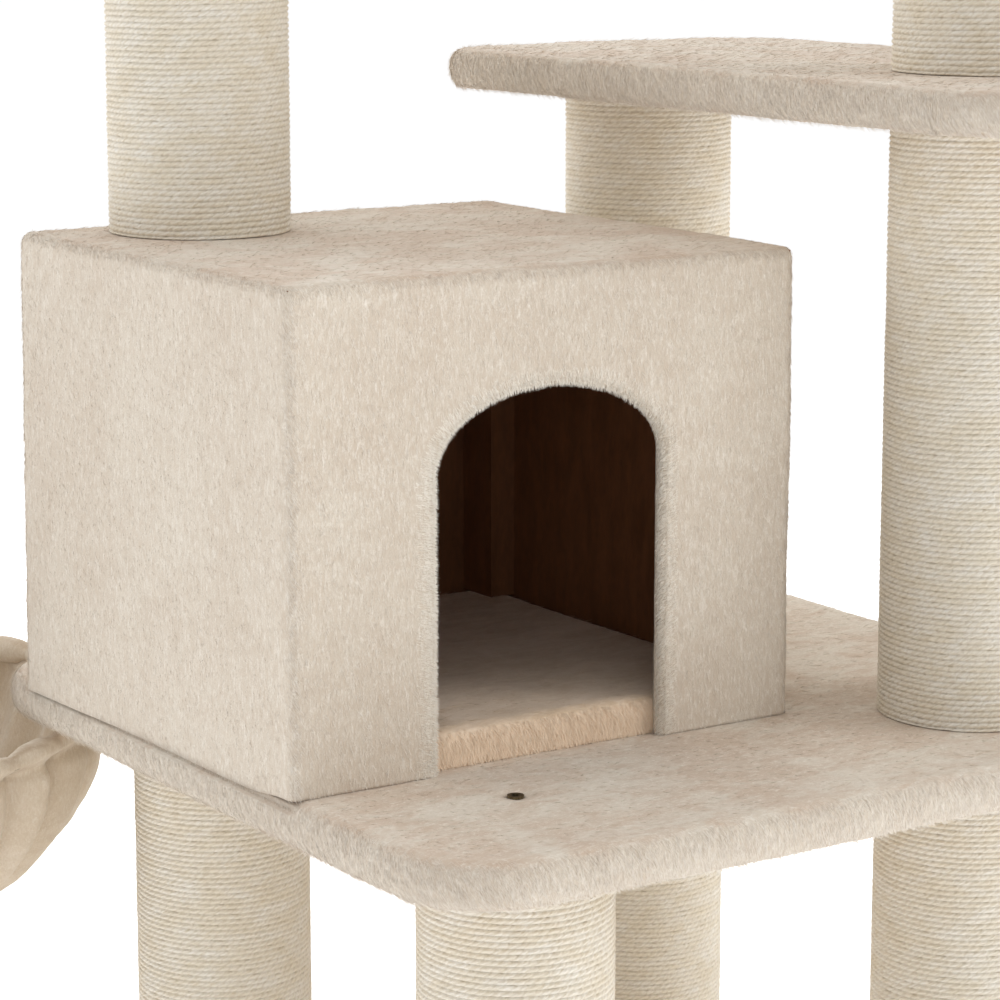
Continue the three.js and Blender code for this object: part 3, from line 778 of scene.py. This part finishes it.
def door_rings(facts, low):
    """The rings of places and directions by which the plush rolls into the doorway."""
    outward = door_ring(facts, low, 1.0, 0.0) - door_ring(facts, low, 0.0, 0.0)
    rings = []
    for margin, depth, inwards in DOOR_ROLL:
        place = door_ring(facts, low, margin * MM, low.y + depth * MM)
        direction = unit(-outward * inwards + np.array([0, -math.sqrt(max(0.0, 1 - inwards ** 2)), 0]))
        place += direction * (0.5 * noise(place, 9 * MM, 65))[:, None] * MM
        rings.append((place, direction))
    return rings


def house_pile(skin, lip, low):
    """Pile all over, thicker on the edges, and a fringe that leans in over the doorway's edge; the lip is the
    quads rolled into the doorway."""
    def inwards(root):
        """In over the doorway's edge, and down."""
        x = (low.x + DOOR_X - root[:, 0]) / DOOR_HALF
        above = np.clip((root[:, 2] - DECK_TOP - DOOR_SPRING) / DOOR_RISE, 0, 1)
        return np.column_stack([x, np.full(len(root), -0.15), -0.3 - 1.2 * above])

    rng = np.random.default_rng(67)
    facing = skin.normals[skin.quads].mean(1)
    weights = 0.34 + 1.3 * edge_share(skin)
    weights[np.abs(facing[:, 2]) > 0.9] *= 0.25
    weights[(np.abs(facing[:, 0]) > 0.9) | (facing[:, 1] > 0.9)] *= 0.5
    weights[lip] = 0
    chosen = np.flatnonzero(weights > 0.02)
    over = tufts(skin, chosen, weights[chosen], 48000, HOUSE_TUFT_LENGTH, HOUSE_TUFT_R, TUFT_LEAN, rng)

    near_door = door_parts(skin.points, low, DOOR_LIP)[0][skin.quads].mean(1)
    beside = np.setdiff1d(np.flatnonzero((facing[:, 1] < -0.9) & (near_door < 1.1)), lip)
    round_door = tufts(skin, beside, 1.12 - near_door[beside], 4000, HOUSE_TUFT_LENGTH, 0.28 * MM, 1.42, rng,
                       follow=inwards)
    front_lip = lip[:len(lip) * 2 // 3]
    spikes = tufts(skin, front_lip, np.ones(len(front_lip)), 8000, 4.2 * MM, 0.3 * MM, 0.7, rng,
                   follow=inwards, facing=(0.0, -1.0, 0.0))
    pile("house_pile", [over])
    # the doorway's fringe takes the lightened plush: painted light
    pile("house_door_pile", [round_door, spikes], PLUSH_FRINGE_LIGHTENED)


def house_plush():
    """The one cover over the house's walls and roof, rolled into the doorway, and its pile."""
    low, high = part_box("house_cover")
    deep = Vector((low.x, low.y, low.z - STRAIGHT))
    door_sides = [(low.x + DOOR_X + side * DOOR_HALF, 14 * MM, 2.6 * MM) for side in (-1, 1)]
    axes = (lines(low.x, high.x, HOUSE_CORNER, GRID, door_sides),
            lines(low.y, high.y, HOUSE_CORNER, GRID * 1.2), lines(low.z, high.z, HOUSE_EDGE, GRID))
    points, quads = box_grid(axes, "xXyYZ")
    on_front = points[:, 1] == low.y
    points, normals = rounded(points, deep, high, HOUSE_CORNER, HOUSE_EDGE)
    skin = Skin(points, normals, quads)
    share, facts = door_parts(points, low, DOOR_LIP)
    rim = skin.cut(on_front & (share < 1.004))
    relief = house_relief(points, normals, low, high, deep, share)
    stretch_foot(points, low, high)
    skin.points = points + normals * relief[:, None]
    facts = [fact[rim] for fact in facts]
    skin.points[rim] = door_ring(facts, low, DOOR_LIP, skin.points[rim, 1])
    before = len(skin.quads)
    skin.extrude(rim, door_rings(facts, low))
    lip = np.arange(before, len(skin.quads))
    shell_points, (shell,) = drop_unused(skin.points, [skin.quads])
    piece = make("house_plush", shell_points, [shell], PLUSH)
    thicken(piece, HOUSE_CLOTH)
    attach(piece, "root")
    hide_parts("house_cover")
    house_pile(skin, lip, low)


house_plush()
# the plush on the house's floor is thick, and rounded at the sill; it takes a lighter, warmer copy of the
# plush, painted bounce light
covered_board("house_floor_cover", corner=FLOOR_EDGE + 1 * MM, edge=FLOOR_EDGE, puff=FLOOR_PUFF,
              straight=STRAIGHT, seats=[centre_of("house_floor_bolt")], tuft_count=20000, open_below=True,
              material=PLUSH_FLOOR_PAINTED_BOUNCE, seed=71)


# ---- sisal windings
def circle(centre, radius, z, turn):
    """Points round a post's axis."""
    return np.stack([centre[0] + radius * np.cos(turn), centre[1] + radius * np.sin(turn), z], -1)


def rope_turns(low, high, centre, outer, seed):
    """The wound surface: points, quads and their places along and across the rope."""
    turns = round((high.z - low.z) / ROPE_PITCH)
    pitch = (high.z - low.z) / turns
    levels = np.arange(-ROPE_ROWS, ROPE_ROWS * (turns + 1) + 1)
    columns = np.arange(ROPE_COLUMNS)
    level, column = np.meshgrid(levels, columns, indexing="ij")
    angle = column / ROPE_COLUMNS * 2 * math.pi
    z = low.z + pitch * (level / ROPE_ROWS + column / ROPE_COLUMNS)
    across = (level % ROPE_ROWS) / ROPE_ROWS
    bulge = np.sqrt(np.clip(1 - (2 * across - 1) ** 2, 0, 1)) * ROPE_BULGE
    even = circle(centre, outer, z, angle).reshape(-1, 3)
    drift = noise(even, 38 * MM, seed).reshape(z.shape)
    jitter = noise(even * (1, 1, 2.2), 9 * MM, seed + 1).reshape(z.shape)
    fine = noise(even * (1, 1, 2.0), 5 * MM, seed + 2).reshape(z.shape)
    radius = outer - ROPE_BULGE - ROPE_LOW + bulge + (0.16 * drift + 0.22 * jitter + 0.14 * fine) * MM
    ended = (z <= low.z) | (z >= high.z)
    z = np.clip(np.where(ended, z, z + (0.55 * drift + 0.3 * jitter) * MM), low.z, high.z)
    radius = np.where(ended, outer - ROPE_BULGE, radius)
    points = circle(centre, radius, z, angle).reshape(-1, 3)

    # the last column joins the first one, a turn further up
    row, col = (a.ravel() for a in np.meshgrid(np.arange(len(levels) - 1), columns, indexing="ij"))
    last = col == ROPE_COLUMNS - 1
    following = np.where(last, 0, col + 1)
    next_row = row + np.where(last, ROPE_ROWS, 0)
    fits = next_row + 1 < len(levels)
    row, col, following, next_row = row[fits], col[fits], following[fits], next_row[fits]
    quads = np.stack([row * ROPE_COLUMNS + col, next_row * ROPE_COLUMNS + following,
                      (next_row + 1) * ROPE_COLUMNS + following, (row + 1) * ROPE_COLUMNS + col], 1)
    strand = (row - ROPE_ROWS) // ROPE_ROWS
    v0 = ((row - ROPE_ROWS) % ROPE_ROWS) / ROPE_ROWS
    v1 = v0 + 1 / ROPE_ROWS
    girth = 2 * math.pi * outer
    u0, u1 = girth * (strand + col / ROPE_COLUMNS), girth * (strand + (col + 1) / ROPE_COLUMNS)
    uv = np.stack([np.stack(pair, 1) for pair in ((u0, v0), (u1, v0), (u1, v1), (u0, v1))], 1)
    return points, quads, uv


def loose_fibres(low, high, centre, outer, seed):
    """Closed spikes that stand off the rope."""
    rng = np.random.default_rng(seed)
    turn_at = rng.uniform(0, 2 * math.pi, FIBRES)
    height = rng.uniform(low.z + 4 * MM, high.z - 4 * MM, FIBRES)
    level = np.zeros(FIBRES)
    out = np.column_stack([np.cos(turn_at), np.sin(turn_at), level])
    tangent = np.column_stack([-np.sin(turn_at), np.cos(turn_at), level])
    root = circle(centre, outer - 0.9 * MM, height, turn_at)
    way = tangent * rng.choice([-1.0, 1.0], (FIBRES, 1)) + out * rng.uniform(0.1, 0.5, (FIBRES, 1))
    way[:, 2] += rng.normal(0, 0.35, FIBRES)
    way = unit(way)
    return np.stack([root + out * FIBRE_R, root - out * FIBRE_R + [0, 0, FIBRE_R],
                     root - out * FIBRE_R - [0, 0, FIBRE_R],
                     root + way * rng.uniform(4, 9, (FIBRES, 1)) * MM], 1).reshape(-1, 3)


def winding(post, seed):
    """One rope wound up a post: turns side by side, each bulging out of its grooves."""
    low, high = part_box(f"{post}_sisal")
    centre = centre_of(f"{post}_sisal")
    outer = (high.x - low.x) / 2
    points, quads, uv = rope_turns(low, high, centre, outer, seed)

    # the ends, and the inside that lies on the tube
    columns = np.arange(ROPE_COLUMNS)
    groove = outer - ROPE_BULGE
    rims = [circle(centre, radius, np.full(ROPE_COLUMNS, z), columns / ROPE_COLUMNS * 2 * math.pi)
            for radius, z in ((groove, low.z), (TUBE_R, low.z), (TUBE_R, high.z), (groove, high.z))]
    for n in range(len(rims) - 1):
        a = len(points) + n * ROPE_COLUMNS + columns
        b = a + ROPE_COLUMNS
        quads = np.concatenate([quads, np.stack([a, b, np.roll(b, -1), np.roll(a, -1)], 1)])
        uv = np.concatenate([uv, np.zeros((ROPE_COLUMNS, 4, 2))])
    points = np.concatenate([points, *rims])

    spikes = blade_triangles(FIBRES) + len(points)
    points = np.concatenate([points, loose_fibres(low, high, centre, outer, seed)])
    all_uv = np.concatenate([uv.reshape(-1, 2), np.full((len(spikes) * 3, 2), 0.5)])
    piece = make(f"{post}_rope", points, [quads, spikes], ROPE, uv=all_uv)
    weld = bmesh.new()
    weld.from_mesh(piece.data)
    bmesh.ops.remove_doubles(weld, verts=weld.verts, dist=0.01 * MM)
    bmesh.ops.dissolve_degenerate(weld, edges=weld.edges, dist=0.004 * MM)
    weld.to_mesh(piece.data)
    weld.free()
    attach(piece, "root")
    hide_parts(f"{post}_sisal")


for number, post_name in enumerate(POSTS):
    winding(post_name, 101 + 7 * number)


# ---- hammock
def hammock_profile():
    """The hem's and bowl's section, from inside the hoop round it and down to the middle: radii, heights,
    outward directions, and the distance from the hem's end."""
    hem = np.radians(np.linspace(*HEM_TURN, HEM_ROWS))
    t = (1 - np.linspace(0, 1, BOWL_ROWS + 1)[1:-1] ** 1.5) * math.pi / 2
    r = np.concatenate([HOOP_R + HEM_R * np.cos(hem),
                        (HOOP_R + BOWL_OUT) * np.sin(t) * (1 - 0.06 * np.sin(2 * t) ** 2)])
    h = np.concatenate([HEM_R * np.sin(hem), -NECK - (BOWL_DEPTH - NECK) * np.cos(t) ** 0.85])
    slope = unit(np.stack([np.gradient(r), np.gradient(h)], 1))
    out = np.stack([-slope[:, 1], slope[:, 0]], 1)
    if out[HEM_ROWS + 4, 0] < 0:
        out = -out
    travel = np.concatenate(([0], np.cumsum(np.hypot(np.diff(r), np.diff(h)))))
    return r, h, out, travel - travel[HEM_ROWS - 1]


def gathers(ring, row, below):
    """How far the cloth is drawn in from its section: folds with broad crests and narrow valleys that die out
    down the bowl, smaller ones between them, a hem pressed in by them, and a pinch under it."""
    phase = (PLEATS * ring + 1.7 * np.sin(2 * ring + 0.8) + 1.3 * np.sin(5 * ring + 2.0)
             + 0.8 * np.sin(9 * ring + 4.0) + 0.5 * np.sin(3 * ring + row * 0.06))
    fold = np.abs(np.cos(phase / 2)) ** 0.8
    minor = 0.5 + 0.5 * np.cos(2.0 * phase + 1.2 * np.sin(4 * ring) + row * 0.03)
    depth = smooth(below, 0 * MM, 16 * MM) * (1 - 0.7 * smooth(below, 80 * MM, 300 * MM))
    on_hem = 1 - smooth(below, -8 * MM, 6 * MM)
    inward = depth[:, None] * (PLEAT_DEPTH * (1 - fold) + SMALL_PLEAT * minor)
    inward += on_hem[:, None] * (HEM_DENT[0] * (1 - fold) ** 1.3 - HEM_DENT[1] * fold)
    return inward + PINCH * ridge(below, PINCH_AT, PINCH_WIDTH)[:, None]


def press_under_deck(points):
    """Keeps the cloth under the deck below its underside."""
    low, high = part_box("deck_cover")
    under = (points[:, 0] > low.x - 5 * MM) & (points[:, 1] < high.y + 5 * MM)
    points[under, 2] = np.minimum(points[under, 2], low.z - 0.6 * MM)


def clear_of_clamps(middle):
    """Which places, from the hoop's centre, lie outside the notches for its clamps."""
    clear = np.ones(len(middle), bool)
    for degrees in CLAMP_ANGLES:
        a = math.radians(degrees)
        along = middle[:, 0] * math.cos(a) + middle[:, 1] * math.sin(a)
        beside = middle[:, 1] * math.cos(a) - middle[:, 0] * math.sin(a)
        clear &= ~((np.abs(beside) < CLAMP_HALF) & (along > HOOP_R - 14 * MM) & (middle[:, 2] > -13 * MM))
    return clear


def hammock():
    """A round of plush gathered on the hoop: a rolled hem, then a bowl whose folds run in to its middle."""
    r, h, section_out, below = hammock_profile()
    theta = np.linspace(0, 2 * math.pi, HAMMOCK_COLUMNS, endpoint=False)
    ring, row = np.meshgrid(theta, np.arange(len(r)), indexing="xy")
    inward = gathers(ring, row, below)
    out_r, out_h = section_out[:, :1], section_out[:, 1:]
    radius = r[:, None] - out_r * inward
    height = h[:, None] - out_h * inward
    local = np.stack([radius * np.cos(ring), radius * np.sin(ring), height], -1).reshape(-1, 3)
    out = np.stack([out_r * np.cos(ring), out_r * np.sin(ring),
                    np.broadcast_to(out_h, ring.shape)], -1).reshape(-1, 3)
    local = local + out * (1.4 * noise(local, 30 * MM, 81) + 0.5 * noise(local, 8 * MM, 82))[:, None] * MM
    local = np.concatenate([local, [[0, 0, -BOWL_DEPTH + 2 * MM]]])
    turn = np.array(Vector((0, 0, 1)).rotation_difference(HOOP_UP).to_matrix())
    low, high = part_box("hammock_hoop")
    points = local @ turn.T + np.array((low + high) / 2)
    press_under_deck(points)

    i, j = (a.ravel() for a in np.meshgrid(np.arange(len(r) - 1), np.arange(HAMMOCK_COLUMNS), indexing="ij"))
    after = (j + 1) % HAMMOCK_COLUMNS
    quads = np.stack([i * HAMMOCK_COLUMNS + j, i * HAMMOCK_COLUMNS + after,
                      (i + 1) * HAMMOCK_COLUMNS + after, (i + 1) * HAMMOCK_COLUMNS + j], 1)
    j = np.arange(HAMMOCK_COLUMNS)
    last = (len(r) - 1) * HAMMOCK_COLUMNS
    fan = np.stack([last + j, last + (j + 1) % HAMMOCK_COLUMNS, np.full(len(j), len(points) - 1)], 1)
    kept = quads[clear_of_clamps(local[quads].mean(1))]
    used, (shell, cap) = drop_unused(points, [kept, fan])
    facing = np.cross(points[quads[0, 1]] - points[quads[0, 0]], points[quads[0, 3]] - points[quads[0, 0]])
    if facing @ (turn @ out[quads[0, 0]]) < 0:
        shell, cap = shell[:, ::-1], cap[:, ::-1]
    # the hammock's plush is a darker, warmer copy: painted shade
    piece = make("hammock_cloth", used, [shell, cap], PLUSH_HAMMOCK_SHADED)
    thicken(piece, CLOTH)
    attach(piece, "root")
    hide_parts("hammock_bowl")


hammock()


# ---- shown CAD nodes
def node_material(name):
    """The material of a CAD solid that stays shown."""
    if any(word in name for word in ("bolt", "stud", "screw", "hoop", "washer")):
        return STEEL
    if name.endswith("_board"):
        return CHIPBOARD
    if name.endswith("_core"):
        return CARDBOARD
    if "clamp" in name:
        return PLASTIC
    return HARDBOARD


for name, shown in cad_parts.items():
    if shown.hide_render:
        continue
    for material_slot in shown.material_slots:
        material_slot.material = node_material(name)


# ---- floor, light and camera
WORLD_LIGHT = 0.51
FLOOR_GLOW = 0.55
FLOOR_RADIUS = 40.0
WHITE = (1.0, 1.0, 1.0, 1.0)
LIGHTS = [  # place, target, size and power
    ("left", (-3.3, 0.9, 1.9), (-0.1, 0.0, 0.8), 2.2, 17),
    ("right", (2.8, -2.5, 2.2), (0.0, 0.0, 0.9), 2.2, 52),
    ("front", (1.9, -3.3, 1.2), (0.1, 0.0, 0.8), 2.0, 8),
    ("fill", (-2.0, -2.9, 1.5), (0.0, 0.0, 0.8), 1.6, 7),
    ("top", (0.0, -0.3, 3.6), (0.0, 0.0, 0.9), 3.0, 26),
    ("back", (1.6, 3.4, 2.3), (0.0, 0.0, 0.9), 2.6, 38),
    ("back_left", (-1.1, 3.6, 1.9), (0.0, 0.0, 0.9), 2.2, 36),
]
CAMERA_AT = (-1.5143, -2.1394, 1.2265)
CAMERA_AZIMUTH, CAMERA_PITCH = -33.752, 11.033
CAMERA_LENS, SENSOR = 116.8, 36


def studio_world(scene):
    """Soft white light from all round, shown as it is."""
    scene.view_settings.view_transform = "Standard"
    scene.view_settings.look = "None"
    world = bpy.data.worlds.new("studio")
    scene.world = world
    world.use_nodes = True
    background = next(n for n in world.node_tree.nodes if n.type == "BACKGROUND")
    background.inputs["Color"].default_value = WHITE
    background.inputs["Strength"].default_value = WORLD_LIGHT


def studio_floor(scene):
    """A wide sheet of pale paper, lit enough to be white."""
    mesh = bpy.data.meshes.new("floor")
    disc = bmesh.new()
    bmesh.ops.create_circle(disc, cap_ends=True, segments=128, radius=FLOOR_RADIUS)
    disc.to_mesh(mesh)
    disc.free()
    floor = bpy.data.objects.new("floor", mesh)
    floor.location = (0, 0, cad_box[0][2] - 0.5 * MM)
    scene.collection.objects.link(floor)
    material, tree, principled = shader("floor_paper", Roughness=0.9, Specular_IOR_Level=0.1,
                                        Emission_Strength=FLOOR_GLOW, Emission_Color=WHITE)
    where = node(tree, "TexCoord").outputs["Object"]
    tone = blended(tree, noise_node(tree, where, 3.0, 2), (0.9, 0.9, 0.9, 1), (0.94, 0.94, 0.94, 1))
    tree.links.new(tone, principled.inputs["Base Color"])
    mesh.materials.append(material)


def studio_lights(scene):
    """The area lamps, out of the camera's sight."""
    for name, place, target, size, power in LIGHTS:
        data = bpy.data.lights.new(name, "AREA")
        data.shape, data.size, data.energy = "SQUARE", size, power
        lamp = bpy.data.objects.new(name, data)
        lamp.location = place
        lamp.visible_camera = False
        lamp.rotation_euler = (Vector(target) - Vector(place)).to_track_quat("-Z", "Y").to_euler()
        scene.collection.objects.link(lamp)


def photograph_camera(scene):
    """The camera at the photograph's place and angle."""
    data = bpy.data.cameras.new("camera")
    data.lens, data.sensor_width = CAMERA_LENS, SENSOR
    data.clip_start, data.clip_end = 0.1, 100
    camera = bpy.data.objects.new("camera", data)
    camera.location = CAMERA_AT
    turn, pitch = math.radians(CAMERA_AZIMUTH), math.radians(CAMERA_PITCH)
    forward = Vector((-math.sin(turn) * math.cos(pitch), math.cos(turn) * math.cos(pitch), -math.sin(pitch)))
    camera.rotation_euler = forward.to_track_quat("-Z", "Y").to_euler()
    scene.collection.objects.link(camera)
    scene.camera = camera


studio_world(bpy.context.scene)
studio_floor(bpy.context.scene)
studio_lights(bpy.context.scene)
photograph_camera(bpy.context.scene)
